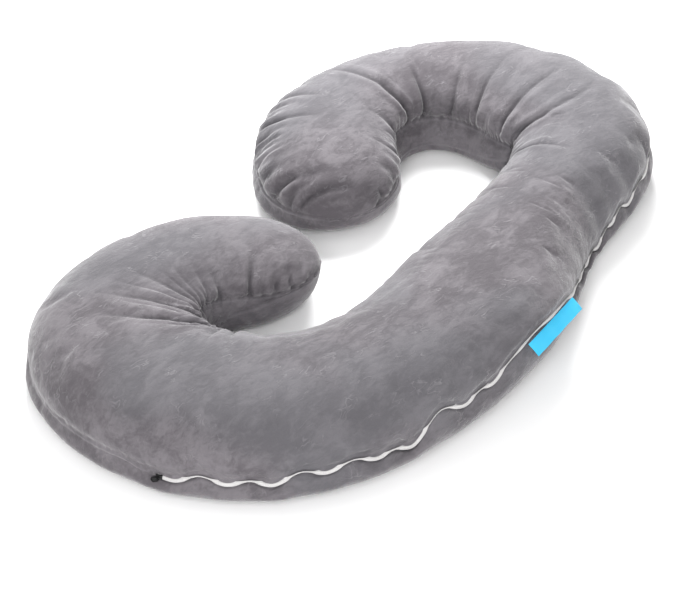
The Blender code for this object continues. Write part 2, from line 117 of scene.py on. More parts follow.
# %% Material helpers
class Value:
    """A number that a node gives at each point, for use in sums."""

    def __init__(self, shader, socket):
        self.shader, self.socket = shader, socket

    def joined(self, operation, first, second):
        return self.shader.node("ShaderNodeMath", {"operation": operation}, {0: first, 1: second})

    def __add__(self, other):
        return self.joined("ADD", self, other)

    def __radd__(self, other):
        return self.joined("ADD", other, self)

    def __sub__(self, other):
        return self.joined("SUBTRACT", self, other)

    def __rsub__(self, other):
        return self.joined("SUBTRACT", other, self)

    def __mul__(self, other):
        return self.joined("MULTIPLY", self, other)

    def __rmul__(self, other):
        return self.joined("MULTIPLY", other, self)


class Shader:
    """A material and the nodes that make it."""

    def __init__(self, name):
        self.material = bpy.data.materials.new(name)
        self.material.use_nodes = True
        self.tree = self.material.node_tree
        self.surface = self.tree.nodes["Principled BSDF"]

    def feed(self, socket, value):
        """Puts a number or a colour on a socket, or links a Value to it."""
        if isinstance(value, Value):
            self.tree.links.new(value.socket, socket)
        else:
            socket.default_value = value

    def node(self, kind, settings, inputs, output=0):
        """Adds a node, sets it up, fills its sockets and gives one of its outputs."""
        node = self.tree.nodes.new(kind)
        for name, setting in settings.items():
            setattr(node, name, setting)
        for socket, value in inputs.items():
            self.feed(node.inputs[socket], value)
        return Value(self, node.outputs[output])

    def finish(self, **inputs):
        """Fills the surface's own sockets. Underscores stand for spaces in their names."""
        for name, value in inputs.items():
            self.feed(self.surface.inputs[name.replace("_", " ")], value)
        return self.material

    def set_all(self, **inputs):
        """Sets plain numbers on the surface's sockets."""
        for name, value in inputs.items():
            self.surface.inputs[name.replace("_", " ")].default_value = value

    def attribute(self, name):
        """The values that the piece keeps for each of its points."""
        return self.node("ShaderNodeAttribute", {"attribute_name": name}, {}, "Fac")

    def place(self, scale=(1, 1, 1), turn=0):
        """Points of the piece in metres, stretched and turned about Z."""
        point = self.node("ShaderNodeTexCoord", {}, {}, "Object")
        inputs = {"Vector": point, "Scale": scale, "Rotation": (0, 0, turn)}
        return self.node("ShaderNodeMapping", {}, inputs)

    def noise(self, point, scale, detail=3, roughness=0.5, distortion=0):
        """Soft random values round 0.5, with this many of them to the metre."""
        inputs = {"Vector": point, "Scale": scale, "Detail": detail, "Roughness": roughness}
        return self.node("ShaderNodeTexNoise", {}, inputs | {"Distortion": distortion}, "Fac")

    def between(self, value, low, high):
        """0 where the value is under low, 1 over high and a smooth step between them."""
        inputs = {"Value": value, "From Min": low, "From Max": high}
        return self.node("ShaderNodeMapRange", {"interpolation_type": "SMOOTHSTEP"}, inputs)

    def mix(self, share, first, second):
        """The first colour, and this share of the second. Sockets 6, 7 and output 2 are the colour ones."""
        first, second = ((*color, 1) if isinstance(color, tuple) else color for color in (first, second))
        return self.node("ShaderNodeMix", {"data_type": "RGBA"}, {"Factor": share, 6: first, 7: second}, 2)

    def bump(self, height, distance, strength=1.0, below=None):
        """A relief of these heights, on top of the relief below it if one is given."""
        inputs = {"Height": height, "Distance": distance, "Strength": strength}
        if below:
            inputs["Normal"] = below
        return self.node("ShaderNodeBump", {}, inputs)


# %% [markdown]
# The floor is only there to catch a soft shadow, so it is one large plane in a plain pale finish.

# %% Floor
FLOOR_SIZE, FLOOR_DROP = 16, 0.0004
FLOOR_WHITE = (0.97, 0.97, 0.97)

bpy.ops.mesh.primitive_plane_add(size=FLOOR_SIZE, location=(0, 0, -FLOOR_DROP))
floor = bpy.context.object
floor.name = "floor"
floor.data.materials.append(Shader("floor_white").finish(Base_Color=(*FLOOR_WHITE, 1), Roughness=0.9))

# %% [markdown]
# The pillow's cover is a long tube that bends into a C. A cushion could be swollen from a copy of the CAD
# solid after a voxel remesh, but that wipes out the seams. Here the skin is laid out again as rows of
# points along the tube, from the same sizes as the CAD part, so that the seams and the zip's wavy bed
# stay sharp and each crease knows where it lies.

# %% Sizes of the tube
CENTRE = (0.00559, 0.00346)  # the part was moved by this much so that its middle is over the origin
Place = namedtuple("Place", "x y half_width crown seam")
TUBE = (
    Place(-0.008, -0.115, 0.103, 0.118, 0.076),
    Place(-0.160, -0.264, 0.126, 0.142, 0.064),
    Place(-0.155, -0.484, 0.132, 0.146, 0.048),
    Place(0.014, -0.531, 0.154, 0.156, 0.066),
    Place(0.210, -0.421, 0.155, 0.162, 0.078),
    Place(0.276, -0.239, 0.141, 0.164, 0.090),
    Place(0.252, 0.020, 0.144, 0.160, 0.098),
    Place(0.170, 0.285, 0.116, 0.154, 0.054),
    Place(0.093, 0.491, 0.140, 0.158, 0.076),
    Place(-0.040, 0.533, 0.158, 0.160, 0.080),
    Place(-0.257, 0.415, 0.120, 0.154, 0.072),
    Place(-0.284, 0.229, 0.139, 0.148, 0.060),
    Place(-0.092, 0.043, 0.130, 0.136, 0.054),
)
END_LENGTH, END_STEPS, END_FULLNESS = 0.125, 14, 0.75
STATION_STEP = 0.0045
TOP_SQUARENESS, BASE_SQUARENESS = 2.2, 2.7
BASE_PRESS, BASE_BELLY, WAVE_SETTLING = 1.16, 0.009, 3
SEAM_DRAW, SEAM_REACH, SEAM_GAP = 0.006, 0.013, 0.0024

Gusset = namedtuple("Gusset", "start end height middle upper_draw lower_draw")
GUSSETS = (Gusset(0.05, 0.90, 0.056, 0.070, 0.010, 0.006), Gusset(1.70, 2.57, 0.043, 0.050, 0.026, 0.004))
GUSSET_TAPER, GUSSET_BULGE, GUSSET_REACH = 0.8, 0.006, 0.042
Bridge = namedtuple("Bridge", "start end speed")
BRIDGE = Bridge(0.20, 0.66, 0.5)  # the inner side takes a shorter way round the near hook's tight bend

# %% Sizes of the zip's wavy seam
Wave = namedtuple("Wave", "at rise")
ZIP_START, ZIP_END, WAVE_FADE = 0.676, 2.050, 0.035
ZIP_WAVES = tuple(Wave(at, rise) for at, rise in (
    (0.676, -0.012), (0.690, -0.015), (0.703, -0.017), (0.729, 0.001), (0.755, -0.013), (0.780, -0.005),
    (0.800, -0.016), (0.828, 0.004), (0.855, -0.008), (0.885, 0.002), (0.914, -0.014), (0.939, -0.012),
    (0.962, -0.024), (0.997, 0.014), (1.017, 0.012), (1.051, -0.009), (1.075, 0.000), (1.100, -0.008),
    (1.126, 0.006), (1.160, 0.014), (1.189, 0.020), (1.246, 0.011), (1.320, -0.002), (1.360, -0.018),
    (1.400, -0.017), (1.440, -0.026), (1.470, -0.020), (1.500, -0.026), (1.535, -0.014), (1.570, -0.024),
    (1.600, -0.003), (1.622, -0.007), (1.642, 0.010), (1.672, -0.008), (1.700, 0.008), (1.735, -0.006),
    (1.770, 0.008), (1.810, -0.008), (1.850, 0.008), (1.890, -0.008), (1.930, 0.008), (1.970, -0.008),
    (2.010, 0.006), (2.050, 0.000),
))
BED_HALF, BED_TAPER, PLAIN_SEAM_HALF = 0.0046, 0.02, 0.0012

# %% The tube's middle line
Tube = namedtuple("Tube", "at x y side_x side_y inner_x inner_y half inner_half crown seam plump")


def natural_spline(knots, values, at):
    """The values at these places of the smooth curve through the knots."""
    gaps = np.diff(knots)
    slopes = np.diff(values) / gaps
    matrix, turn = np.eye(len(knots)), np.zeros(len(knots))
    for i in range(1, len(knots) - 1):
        matrix[i, i - 1 : i + 2] = gaps[i - 1], 2 * (gaps[i - 1] + gaps[i]), gaps[i]
        turn[i] = 6 * (slopes[i] - slopes[i - 1])
    bend = np.linalg.solve(matrix, turn)
    i = np.clip(np.searchsorted(knots, at) - 1, 0, len(gaps) - 1)
    before, after = (knots[i + 1] - at) / gaps[i], (at - knots[i]) / gaps[i]
    sag = (before**3 - before) * bend[i] + (after**3 - after) * bend[i + 1]
    return before * values[i] + after * values[i + 1] + sag * gaps[i] ** 2 / 6


POINTS = np.array([(place.x - CENTRE[0], place.y - CENTRE[1]) for place in TUBE])
KNOTS = np.append(0, np.cumsum(np.linalg.norm(np.diff(POINTS, axis=0), axis=1)))
TUBE_LENGTH = KNOTS[-1]
LOOK_AHEAD = 0.004  # how far to both sides of a point its direction is measured


def middle_line(at):
    """The tube's middle line in plan, and the unit directions across it, out of the C."""
    before, here, after = (
        np.stack([natural_spline(KNOTS, column, at + by) for column in POINTS.T], -1)
        for by in (-LOOK_AHEAD, 0, LOOK_AHEAD)
    )
    ahead = (after - before) / np.linalg.norm(after - before, axis=-1, keepdims=True)
    return here, np.stack([ahead[..., 1], -ahead[..., 0]], -1)


def plain_inner_line(at):
    """The tube's inner side in plan, half its width from the middle line."""
    middle, across = middle_line(at)
    half = natural_spline(KNOTS, np.array(TUBE)[:, 2], at)
    return middle - across * half[..., None]


def inner_line(at):
    """The tube's inner side in plan, with the bridge over the tight bend."""
    ends, step, length = np.array([BRIDGE.start, BRIDGE.end]), LOOK_AHEAD / 2, BRIDGE.end - BRIDGE.start
    first, last = plain_inner_line(ends)
    speeds = (plain_inner_line(ends + step) - plain_inner_line(ends - step)) / (2 * step)
    leave, arrive = speeds * BRIDGE.speed * length
    t = np.clip((at - BRIDGE.start) / length, 0, 1)[..., None]
    bridge = first + (last - first) * (3 - 2 * t) * t**2
    bridge = bridge + leave * t * (1 - t) ** 2 - arrive * (1 - t) * t**2
    return np.where((t > 0) & (t < 1), bridge, plain_inner_line(at))


def tube_at(at):
    """The tube at these distances along its middle line."""
    at = np.asarray(at, float)
    half, crown, seam = (natural_spline(KNOTS, column, at) for column in np.array(TUBE).T[2:])
    middle, across = middle_line(at)
    inward = inner_line(at) - middle
    inner_half = np.linalg.norm(inward, axis=-1)
    from_end = np.clip(np.minimum(at, TUBE_LENGTH - at) / END_LENGTH, 0, 1)
    plump = np.sqrt(1 - (1 - from_end) ** 2)
    directions = (*middle.T, *across.T, *(inward / inner_half[..., None]).T)
    return Tube(at, *directions, half * plump, inner_half * plump, crown, seam, plump)


print("tube", round(TUBE_LENGTH, 3), "m long")


# %% The seams
def between(low, high, value):
    """0 up to low, 1 from high on, and a smooth step between them."""
    t = np.clip((value - low) / (high - low), 0, 1)
    return t * t * (3 - 2 * t)


def wave_rise(at):
    """How far the outer seam waves above its straight line. The waves die out past both ends of the zip."""
    knots, rises = np.array(ZIP_WAVES).T
    fade = between(ZIP_START - WAVE_FADE, ZIP_START, at) * (1 - between(ZIP_END, ZIP_END + WAVE_FADE, at))
    return natural_spline(knots, rises, np.clip(at, ZIP_START, ZIP_END)) * fade


def bed_half(at):
    """Half the height of the flat bed that the zip lies on. It narrows to a plain seam past its ends."""
    inside = between(ZIP_START - BED_TAPER, ZIP_START, at) * (1 - between(ZIP_END, ZIP_END + BED_TAPER, at))
    return PLAIN_SEAM_HALF + (BED_HALF - PLAIN_SEAM_HALF) * inside


def gusset_share(gusset, at):
    """0 at the gusset's points and 1 in its middle."""
    along = np.clip((at - gusset.start) / (gusset.end - gusset.start), 0, 1)
    return np.sin(math.pi * along) ** GUSSET_TAPER


def inner_seams(tube):
    """The heights of the upper and the lower inner seam, and how far a gusset draws each of them in."""
    middle, height = tube.seam, SEAM_GAP * tube.plump
    upper_draw = lower_draw = 0
    for gusset in GUSSETS:
        share = gusset_share(gusset, tube.at)
        middle = middle + (gusset.middle - middle) * share
        height = height + (gusset.height - SEAM_GAP) * share
        upper_draw = upper_draw + gusset.upper_draw * share
        lower_draw = lower_draw + gusset.lower_draw * share
    return middle + height / 2, middle - height / 2, upper_draw, lower_draw


# %% The panels
def superellipse(angle, squareness):
    """The shares of the half width and of the height at an angle over a panel, in degrees."""
    turn = np.radians(angle)
    across, lift = np.cos(turn), np.clip(np.sin(turn), 0, 1)
    return np.sign(across) * np.abs(across) ** (2 / squareness), lift ** (2 / squareness)


def in_world(tube, out, height):
    """Points this far out of the middle line: above 0 to the outer side, under 0 to the inner one."""
    outer, inner = np.maximum(out, 0), np.maximum(-out, 0)
    x = tube.x + tube.side_x * outer + tube.inner_x * inner
    y = tube.y + tube.side_y * outer + tube.inner_y * inner
    return np.stack(np.broadcast_arrays(x, y, height), -1)


def side(tube, across, drawn):
    """The distance from the middle line, outwards, of a share of the half width less what is drawn in."""
    half = np.where(across > 0, tube.half, tube.inner_half)
    return half * across - np.sign(across) * drawn


def drawn_in(tube, gusset_draw, from_edge):
    """How far a panel is drawn in at this height above or below its edge."""
    by_seam = SEAM_DRAW * tube.plump * np.exp(-((from_edge / SEAM_REACH) ** 2))
    return by_seam + gusset_draw * np.exp(-((from_edge / GUSSET_REACH) ** 2))


def top_panel(tube, angle):
    """Points of the top panel, by their angle over it: 0 at the outer seam and 180 at the inner one."""
    across, lift = superellipse(angle, TOP_SQUARENESS)
    inner_part = (1 - np.cos(np.radians(angle))) / 2
    upper, _, gusset_draw, _ = inner_seams(tube)
    outer = tube.seam + wave_rise(tube.at) + bed_half(tube.at) * tube.plump
    edge = outer + (upper - outer) * inner_part
    crown = tube.seam + (tube.crown - tube.seam) * tube.plump**END_FULLNESS
    rise = (crown - edge) * lift
    drawn = drawn_in(tube, gusset_draw * inner_part, rise)
    return in_world(tube, side(tube, across, drawn), edge + rise)


def base_panel(tube, angle):
    """Points of the bottom panel, which the floor presses flat."""
    across, lift = superellipse(angle, BASE_SQUARENESS)
    inner_part = (1 - np.cos(np.radians(angle))) / 2
    _, lower, _, gusset_draw = inner_seams(tube)
    outer = tube.seam - bed_half(tube.at) * tube.plump
    edge = outer + (lower - outer) * inner_part
    wave = wave_rise(tube.at) * (1 - inner_part) * (1 - lift) ** WAVE_SETTLING
    fall = edge * BASE_PRESS * tube.plump**END_FULLNESS * lift
    drawn = drawn_in(tube, gusset_draw * inner_part, fall)
    belly = BASE_BELLY * tube.plump * 4 * lift * (1 - lift) * (1 - inner_part)
    return in_world(tube, side(tube, across, drawn - belly), np.maximum(edge + wave - fall, 0))


def gusset_panel(tube, share):
    """Points of the inner gusset, by their share of the way down it."""
    upper, lower, upper_draw, lower_draw = inner_seams(tube)
    drawn = SEAM_DRAW * tube.plump + upper_draw + (lower_draw - upper_draw) * share
    bulge = GUSSET_BULGE * (upper - lower) / GUSSETS[0].height * np.sin(math.pi * share)
    return in_world(tube, drawn - bulge - tube.inner_half, upper + (lower - upper) * share)


# %% The skin as rows of points
EDGE_ANGLES = (0, 1.2, 2.6, 4.6, 7.4, 11)
TOP_ANGLES = np.array([*EDGE_ANGLES, *np.linspace(16, 164, 32), *(180 - a for a in EDGE_ANGLES[::-1])])
BASE_ANGLES = np.array([180, 176, 170, 162, 150, 132, 105, 75, 48, 30, 18, 10, 5, 2, 1, 0.4, 0])
GUSSET_SHARES = np.array([0.14, 0.32, 0.5, 0.68, 0.86])


def stations():
    """The distances along the middle line that carry a row, closer together at the rounded ends."""
    end = END_LENGTH * (1 - np.cos(np.linspace(0, math.pi / 2, END_STEPS + 1)[1:-1]))
    first, last = END_LENGTH, TUBE_LENGTH - END_LENGTH
    middle = np.linspace(first, last, round((last - first) / STATION_STEP))
    return np.concatenate([end, middle, (TUBE_LENGTH - end)[::-1]])


def spread(tube):
    """The same tube with its arrays as columns, to be met with a row of angles."""
    return Tube(*(values[:, None] for values in tube))


def skin_grid():
    """The points of the skin, by station and by row round the section."""
    tube = spread(tube_at(stations()))
    panels = (top_panel(tube, TOP_ANGLES), gusset_panel(tube, GUSSET_SHARES), base_panel(tube, BASE_ANGLES))
    return np.concatenate(panels, axis=1)


def ring_faces(count, rows):
    """Faces between neighbouring rings of points that are numbered ring by ring."""
    return [
        (i * rows + j, i * rows + (j + 1) % rows, (i + 1) * rows + (j + 1) % rows, (i + 1) * rows + j)
        for i in range(count - 1)
        for j in range(rows)
    ]


def choose(piece):
    """Selects this piece alone, because an operator acts on all that is selected."""
    bpy.ops.object.select_all(action="DESELECT")
    bpy.context.view_layer.objects.active = piece
    piece.select_set(True)


def open_whole(piece):
    """Opens a piece in edit mode with all of it selected."""
    choose(piece)
    bpy.ops.object.mode_set(mode="EDIT")
    bpy.ops.mesh.select_all(action="SELECT")


def face_out(piece):
    """Turns all the faces of a closed piece outwards."""
    open_whole(piece)
    bpy.ops.mesh.normals_make_consistent(inside=False)
    bpy.ops.object.mode_set(mode="OBJECT")


def make_skin(name):
    """The pillow's closed skin as a mesh piece, with a point at each tip where its rows meet."""
    grid = skin_grid()
    count, rows = grid.shape[:2]
    tips = tube_at([0.0, TUBE_LENGTH])
    points = np.concatenate([grid.reshape(-1, 3), in_world(tips, np.zeros(2), tips.seam)])
    first, last, base = len(points) - 2, len(points) - 1, (count - 1) * rows
    faces = ring_faces(count, rows)
    faces += [(first, (j + 1) % rows, j) for j in range(rows)]
    faces += [(last, base + j, base + (j + 1) % rows) for j in range(rows)]
    mesh = bpy.data.meshes.new(name)
    mesh.from_pydata(points.tolist(), [], faces)
    piece = bpy.data.objects.new(name, mesh)
    bpy.context.scene.collection.objects.link(piece)
    face_out(piece)
    return piece, count, rows


pillow, STATION_COUNT, ROW_COUNT = make_skin("pillow_cover")
print("skin:", STATION_COUNT, "stations of", ROW_COUNT, "points")

# %% [markdown]
# Filling swells the cover. That could be faked with a formula, but cloth that is longer than the seam it
# is sewn to also buckles, and those gathers are what makes an inner bend look sewn. Blender's Cloth does
# both: pressure pushes the skin out, the seams and the flat underside are held, and next to the inner
# seams the cloth is given extra length. The skin starts a little inside its place, and a cap limits how
# far each point ends up from that place.

# %% Fill the cover
START_INSIDE = 0.004
MOVE_CAP, SAG_CAP = 0.0035, 0.0015  # how far a point may end up outside and inside its place
PRESSURE, FILL_FRAMES = 4.0, 20
CLOTH_MASS, CLOTH_BENDING, CLOTH_QUALITY = 0.05, 0.02, 5
EXTRA_CLOTH, EXTRA_AT_SEAM = 0.025, 0.12  # how much longer the cloth is, all over and by the inner seams
GATHER_REACH = 0.10
ON_FLOOR = 0.001  # points lower than this rest on the floor
TOP_ROWS, BASE_START = len(TOP_ANGLES), len(TOP_ANGLES) + len(GUSSET_SHARES)


def points_of(piece):
    flat = np.empty(len(piece.data.vertices) * 3)
    piece.data.vertices.foreach_get("co", flat)
    return flat.reshape(-1, 3)


def move_points(piece, points):
    piece.data.vertices.foreach_set("co", points.ravel())
    piece.data.update()


def normals_of(piece):
    flat = np.empty(len(piece.data.vertices) * 3, np.float32)
    piece.data.vertex_normals.foreach_get("vector", flat)
    return flat.reshape(-1, 3)


def on_rows(rows):
    """1 on these rows of points, and on the tips, and 0 elsewhere."""
    marked = np.zeros((STATION_COUNT, ROW_COUNT))
    marked[:, rows] = 1
    return np.append(marked.ravel(), [1, 1])


def add_group(piece, name, weights):
    group = piece.vertex_groups.new(name=name)
    for index, weight in enumerate(weights):
        if weight > 0:
            group.add([index], float(weight), "REPLACE")


def apply_modifier(piece, modifier):
    choose(piece)
    bpy.ops.object.modifier_apply(modifier=modifier.name)


def swell(piece):
    """Runs Cloth under pressure on the piece and applies the result."""
    cloth = piece.modifiers.new("Filling", "CLOTH")
    settings = cloth.settings
    settings.quality, settings.mass = CLOTH_QUALITY, CLOTH_MASS
    settings.bending_stiffness = CLOTH_BENDING
    settings.vertex_group_mass, settings.vertex_group_shrink = "held", "gathered"
    settings.shrink_min, settings.shrink_max = -EXTRA_CLOTH, -EXTRA_AT_SEAM
    settings.use_pressure, settings.uniform_pressure_force = True, PRESSURE
    settings.effector_weights.gravity = 0
    cloth.collision_settings.use_collision = False
    cloth.point_cache.frame_start, cloth.point_cache.frame_end = 1, FILL_FRAMES
    for moment in range(1, FILL_FRAMES + 1):
        bpy.context.scene.frame_set(moment)
    apply_modifier(piece, cloth)


def fill_cover(piece):
    """Swells the skin from a little inside its place, and caps how far it ends up from there."""
    placed, normals = points_of(piece), normals_of(piece)
    held = np.maximum(on_rows([0, TOP_ROWS - 1, BASE_START, ROW_COUNT - 1]), placed[:, 2] < ON_FLOOR)
    upper_seam = placed[:-2].reshape(STATION_COUNT, ROW_COUNT, 3)[:, TOP_ROWS - 1]
    to_seam = np.array([np.linalg.norm(upper_seam - point, axis=1).min() for point in placed])
    add_group(piece, "held", held)
    add_group(piece, "gathered", np.clip(1 - to_seam / GATHER_REACH, 0, 1))
    start = placed - normals * START_INSIDE * (1 - held)[:, None]
    start[:, 2] = np.maximum(start[:, 2], 0)
    move_points(piece, start)
    swell(piece)
    move = points_of(piece) - placed
    outward = (move * normals).sum(1)
    capped = np.clip(outward, -SAG_CAP, MOVE_CAP)
    filled = placed + move + normals * (capped - outward)[:, None]
    filled[:, 2] = np.maximum(filled[:, 2], 0)
    move_points(piece, filled)
    print("filled:", round(float(capped.mean()) * 1000, 1), "mm outwards on average")


fill_cover(pillow)

# %% Smooth the cover
smoothing = pillow.modifiers.new("Smooth", "SUBSURF")
smoothing.levels = smoothing.render_levels = 1
apply_modifier(pillow, smoothing)
bpy.ops.object.shade_smooth()
print("pillow:", len(pillow.data.polygons) * 2, "triangles")

# %% [markdown]
# The creases that the photograph shows are placed one by one, because a simulation would put them where
# it likes. Each row of the table runs from the seam that gathers it, out over the panel, in the tube's
# own measures: how far along the tube, and at which place round its section. Places 0 to 180 go over the
# top panel from the outer seam, 180 to 240 down the gusset and 240 to 420 back underneath.

# %% Creases
Crease = namedtuple("Crease", "at place to_at to_place depth width")
CREASES = [Crease(*row) for row in (
    (0.060, 176, 0.075, 118, 0.0075, 0.005),
    (0.036, 174, 0.050, 112, 0.0070, 0.005),
    (0.126, 174, 0.111, 100, 0.0070, 0.006),
    (0.205, 172, 0.224, 116, 0.0040, 0.008),
    (0.290, 170, 0.252, 112, 0.0045, 0.006),
    (0.345, 166, 0.292, 104, 0.0050, 0.006),
    (0.366, 164, 0.322, 100, 0.0040, 0.005),
    (0.390, 164, 0.350, 94, 0.0065, 0.007),
    (0.430, 162, 0.386, 92, 0.0050, 0.005),
    (0.480, 160, 0.422, 88, 0.0085, 0.006),
    (0.530, 158, 0.446, 96, 0.0060, 0.005),
    (0.590, 152, 0.480, 86, 0.0100, 0.007),
    (0.605, 150, 0.500, 98, 0.0060, 0.005),
    (0.620, 144, 0.522, 94, 0.0070, 0.005),
    (0.636, 146, 0.560, 112, 0.0050, 0.005),
    (0.655, 150, 0.682, 98, 0.0055, 0.008),
    (0.700, 156, 0.722, 103, 0.0055, 0.008),
    (0.780, 170, 0.800, 118, 0.0030, 0.010),
    (1.020, 172, 1.030, 122, 0.0030, 0.011),
    (1.290, 172, 1.275, 118, 0.0035, 0.010),
    (1.430, 172, 1.410, 112, 0.0040, 0.009),
    (1.510, 172, 1.480, 110, 0.0040, 0.009),
    (1.590, 172, 1.560, 112, 0.0040, 0.009),
    (1.645, 160, 1.650, 86, 0.0075, 0.005),
    (1.745, 160, 1.858, 62, 0.0065, 0.005),
    (1.885, 162, 1.914, 66, 0.0060, 0.006),
    (2.010, 150, 1.999, 78, 0.0050, 0.006),
    (2.100, 170, 2.068, 86, 0.0060, 0.006),
    (2.182, 176, 2.182, 96, 0.0120, 0.0045),
    (2.230, 176, 2.292, 58, 0.0120, 0.005),
    (2.340, 172, 2.370, 110, 0.0045, 0.008),
    (1.740, 8, 1.750, 46, 0.0040, 0.011),
    (1.800, 8, 1.820, 52, 0.0040, 0.011),
    (1.870, 8, 1.885, 52, 0.0040, 0.011),
    (2.320, 8, 2.330, 60, 0.0040, 0.011),
    (2.371, 12, 2.367, 80, 0.0080, 0.006),
    (2.400, 10, 2.402, 52, 0.0055, 0.007),
    (2.424, 10, 2.429, 84, 0.0080, 0.006),
    (2.447, 10, 2.452, 48, 0.0055, 0.007),
    (2.470, 10, 2.480, 60, 0.0060, 0.008),
    (2.495, 8, 2.502, 44, 0.0055, 0.006),
    (2.520, 10, 2.525, 50, 0.0085, 0.006),
    (2.555, 8, 2.571, 82, 0.0095, 0.006),
    (2.585, 10, 2.581, 66, 0.0085, 0.0055),
    (2.600, 20, 2.604, 110, 0.0090, 0.0055),
    (2.602, 172, 2.596, 140, 0.0075, 0.0055),
    (2.570, 174, 2.560, 130, 0.0075, 0.006),
)]

# %% [markdown]
# Between the main creases a sewn edge puckers finely, because the velvet is a little longer than the
# thread that gathers it. Those puckers are too many to place one by one, so each row of the next table
# stands for a run of them, and a seeded chance makes no two alike.

# %% Puckers along the seams
Puckers = namedtuple("Puckers", "start end count place to_place depth width")
PUCKERS = (
    Puckers(0.004, 0.125, 20, 180, 104, 0.0056, 0.0034),
    Puckers(0.020, 0.200, 10, 196, 236, 0.0016, 0.0050),
    Puckers(0.130, 0.420, 18, 179, 136, 0.0036, 0.0045),
    Puckers(0.420, 0.700, 34, 179, 104, 0.0060, 0.0040),
    Puckers(0.200, 0.700, 20, 183, 236, 0.0036, 0.0045),
    Puckers(0.700, 1.700, 44, 179, 148, 0.0022, 0.0060),
    Puckers(1.650, 2.100, 34, 179, 120, 0.0034, 0.0040),
    Puckers(2.100, 2.560, 38, 179, 122, 0.0038, 0.0040),
    Puckers(1.740, 2.540, 30, 183, 238, 0.0022, 0.0050),
    Puckers(2.500, 2.612, 18, 178, 118, 0.0058, 0.0036),
    Puckers(2.290, 2.612, 54, 2, 66, 0.0062, 0.0034),
    Puckers(2.060, 2.290, 12, 2, 30, 0.0022, 0.0070),
    Puckers(0.010, 0.680, 30, 2, 26, 0.0016, 0.0070),
    Puckers(0.700, 2.040, 62, 3, 20, 0.0018, 0.0060),
    Puckers(0.700, 2.040, 56, 417, 396, 0.0014, 0.0065),
    Puckers(2.060, 2.610, 24, 418, 396, 0.0024, 0.0060),
    Puckers(0.010, 0.680, 26, 418, 400, 0.0016, 0.0070),
)
CHANCE = random.Random(7)


def puckers_of(row):
    """The small creases of one run of puckers."""
    step = (row.end - row.start) / row.count
    for number in range(row.count):
        at = row.start + step * (number + CHANCE.uniform(0.15, 0.85))
        to_at = at + step * CHANCE.uniform(-1.3, 1.3)
        to_place = row.place + (row.to_place - row.place) * CHANCE.uniform(0.35, 1)
        size, spread_by = CHANCE.uniform(0.4, 1), CHANCE.uniform(0.8, 1.3)
        yield Crease(at, row.place, to_at, to_place, row.depth * size, row.width * spread_by)


ALL_CREASES = CREASES + [pucker for row in PUCKERS for pucker in puckers_of(row)]
print(len(CREASES), "creases and", len(ALL_CREASES) - len(CREASES), "puckers")


# %% Sink the creases
CREASE_STEPS = 8
CREASE_SPREAD, CREASE_FADE = 1.0, 0.7
CREASE_LIP, LIP_AWAY, LIP_START = 0.40, 1.9, (0.05, 0.3)
CREASE_CORE, CORE_SHARE = 0.55, 0.38  # a narrow core makes the bottom of a crease sharp
CREASE_LIMIT = 0.013
HOLLOW_DEPTH = 0.0050
BED_CLEAR = (0.0058, 0.012)  # creases begin this far from the middle of the zip's bed


def skin_point(tube, place):
    """Points of the smooth skin by their place round the section."""
    top = top_panel(tube, np.clip(place, 0, 180))
    gusset = gusset_panel(tube, np.clip((place - 180) / 60, 0, 1))
    base = base_panel(tube, np.clip(420 - place, 0, 180))
    return np.where((place <= 180)[:, None], top, np.where((place < 240)[:, None], gusset, base))


def crease_path(crease, surface):
    """Points along a crease, on the filled skin."""
    share = np.linspace(0, 1, CREASE_STEPS)
    at = np.clip(crease.at + (crease.to_at - crease.at) * share, 0.001, TUBE_LENGTH - 0.001)
    place = crease.place + (crease.to_place - crease.place) * share
    return np.array([surface.find_nearest(point)[0] for point in skin_point(tube_at(at), place)])


def distance_to_path(points, path):
    """The distance of each point from the path, and the share of the way along it of the nearest place."""
    starts, steps = path[:-1], np.diff(path, axis=0)
    offset = points[:, None] - starts
    part = np.clip((offset * steps).sum(-1) / np.maximum((steps**2).sum(-1), 1e-12), 0, 1)
    distance = np.linalg.norm(offset - part[..., None] * steps, axis=-1)
    nearest = distance.argmin(-1)
    part = np.take_along_axis(part, nearest[:, None], -1)[:, 0]
    return distance.min(-1), (nearest + part) / len(steps)


def profile(distance, share, width):
    """How deep a crease is here, as a share of its depth, and under nothing where the cloth stands up."""
    away = distance / (width * (1 + CREASE_SPREAD * share))
    wide, core = np.exp(-(away**2)), np.exp(-((away / CORE_SHARE) ** 2))
    lip = CREASE_LIP * between(*LIP_START, share) * np.exp(-((away - LIP_AWAY) ** 2))
    return (1 - share) ** CREASE_FADE * (wide + (core - wide) * CREASE_CORE - lip)


def crease_depth(points, creases, surface):
    """How far each point sinks into all the creases together."""
    depth = np.zeros(len(points))
    for crease in creases:
        path = crease_path(crease, surface)
        reach = crease.width * (1 + CREASE_SPREAD) * (LIP_AWAY + 1.5)
        near = np.flatnonzero(((points > path.min(0) - reach) & (points < path.max(0) + reach)).all(1))
        distance, share = distance_to_path(points[near], path)
        depth[near] += crease.depth * profile(distance, share, crease.width)
    return CREASE_LIMIT * np.tanh(depth / CREASE_LIMIT)


# %% [markdown]
# A sewn seam shows as a thin ridge at the bottom of a valley: the two edges of cloth are folded inside
# and push the thread line up. It could be a separate cord, but here it is only a fold, so the points that
# lie on a seam are lifted a little.

# %% Seam ridges
RIDGE_HEIGHT, RIDGE_HALF = 0.0014, 0.0019
GROOVE_DEPTH, GROOVE_HALF, GROOVE_DROP = 0.0055, 0.0018, 0.0056  # a shadow line runs under the zip
SEAM_STEP = 0.002


def outer_seam(at):
    """The middle of the outer seam, waves included."""
    tube = tube_at(at)
    return in_world(tube, tube.half - SEAM_DRAW * tube.plump, tube.seam + wave_rise(tube.at))


